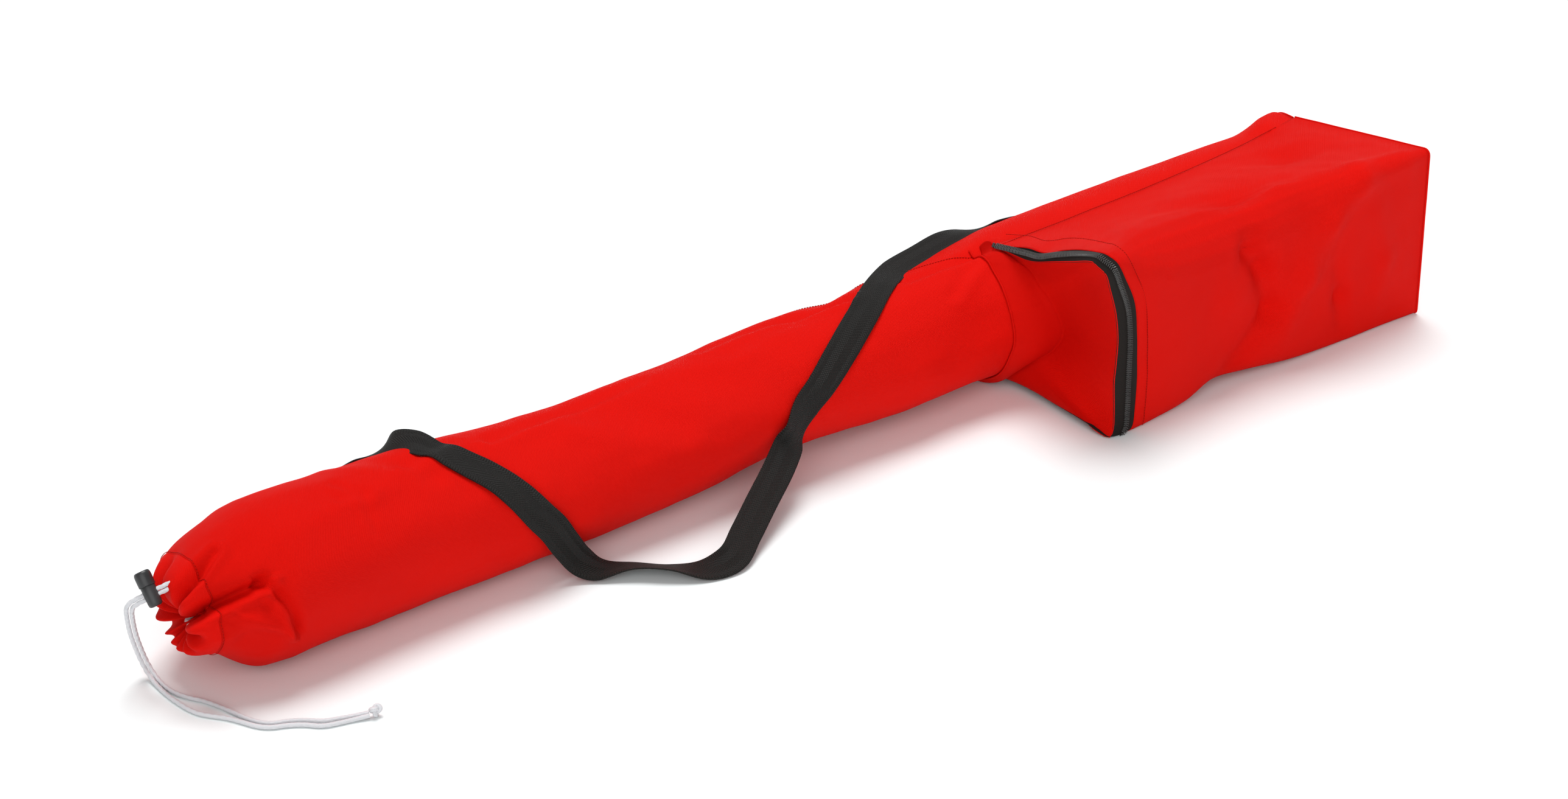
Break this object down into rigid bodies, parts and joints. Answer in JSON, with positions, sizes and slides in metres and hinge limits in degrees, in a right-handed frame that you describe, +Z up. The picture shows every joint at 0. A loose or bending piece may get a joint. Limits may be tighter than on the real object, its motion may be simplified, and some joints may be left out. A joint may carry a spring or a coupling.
{
  "type": "ski bag",
  "caption": "Long soft bag with a round ski sleeve gathered by a drawcord at one end, a zipped boot box at the other and a webbing shoulder strap.",
  "frame": {"origin": "middle of the bag's footprint on the ground, without the drawcord", "axes": "+X from the gathered mouth to the end of the boot box, -Y towards the side the box bulges to, +Z up"},
  "size_m": [1.737, 0.315, 0.2463],
  "materials": {
    "sleeve_fabric": "woven polyester, matt with a faint sheen",
    "box_fabric": "woven polyester, matt with a faint sheen",
    "binding_fabric": "woven binding",
    "zip_tape": "woven tape",
    "zip_coil": "nylon coil",
    "zip_metal": "black lacquer",
    "lock_plastic": "moulded, satin",
    "lock_spring": "drawn wire",
    "drawcord": "braided, bright white",
    "webbing": "woven twill webbing"
  },
  "bodies": {
    "bag": {"sleeve_panel": "sleeve_fabric", "mouth_hem": "sleeve_fabric", "drawcord_loop": "drawcord", "box_panel": "box_fabric", "end_panel": "box_fabric", "end_seam_tape": "binding_fabric", "flap_gusset": "box_fabric", "neck_binding": "binding_fabric", "zip_tape_box": "zip_tape", "zip_coil_box": "zip_coil", "zip_tape_gusset": "zip_tape", "zip_coil_gusset": "zip_coil", "zip_stops": "zip_metal", "drawcord_tail_a": "drawcord", "drawcord_tail_b": "drawcord", "drawcord_knot": "drawcord", "strap_anchor_mouth": "webbing", "strap_anchor_box": "webbing"},
    "flap": {"boot_flap": "box_fabric", "zip_tape_flap": "zip_tape", "zip_coil_flap": "zip_coil"},
    "slider": {"zip_slider": "zip_metal"},
    "pull": {"zip_pull": "zip_metal"},
    "cordlock": {"cordlock_barrel": "lock_plastic", "cordlock_spring": "lock_spring"},
    "plunger": {"cordlock_plunger": "lock_plastic"},
    "strap": {"shoulder_strap": "webbing"}
  },
  "joints": [
    {"name": "flap_fold", "type": "hinge", "parent": "bag", "child": "flap", "pos_m": [0.306, -0.031, 0.12], "axis": [0, 0, -1], "range_deg": [0, 88]},
    {"name": "slider_run", "type": "slide", "parent": "bag", "child": "slider", "axis": [0, -1, 0], "range_m": [0, 0.1]},
    {"name": "pull_swing", "type": "hinge", "parent": "slider", "child": "pull", "pos_m": [0.327, -0.014, 0.0031], "axis": [-1, 0, 0], "range_deg": [0, 110]},
    {"name": "cordlock_slide", "type": "slide", "parent": "bag", "child": "cordlock", "axis": [-0.8486, 0.3825, -0.3654], "range_m": [0, 0.004]},
    {"name": "plunger_press", "type": "slide", "parent": "cordlock", "child": "plunger", "axis": [0.0641, -0.6115, -0.7886], "range_m": [0, 0.004], "stiffness_N_per_m": 400, "springref_m": -0.003, "deforming": ["cordlock_spring"]},
    {"name": "strap_swing", "type": "hinge", "parent": "bag", "child": "strap", "pos_m": [0, 0.153, 0.1], "axis": [-1, 0, 0], "range_deg": [0, 100]}
  ]
}
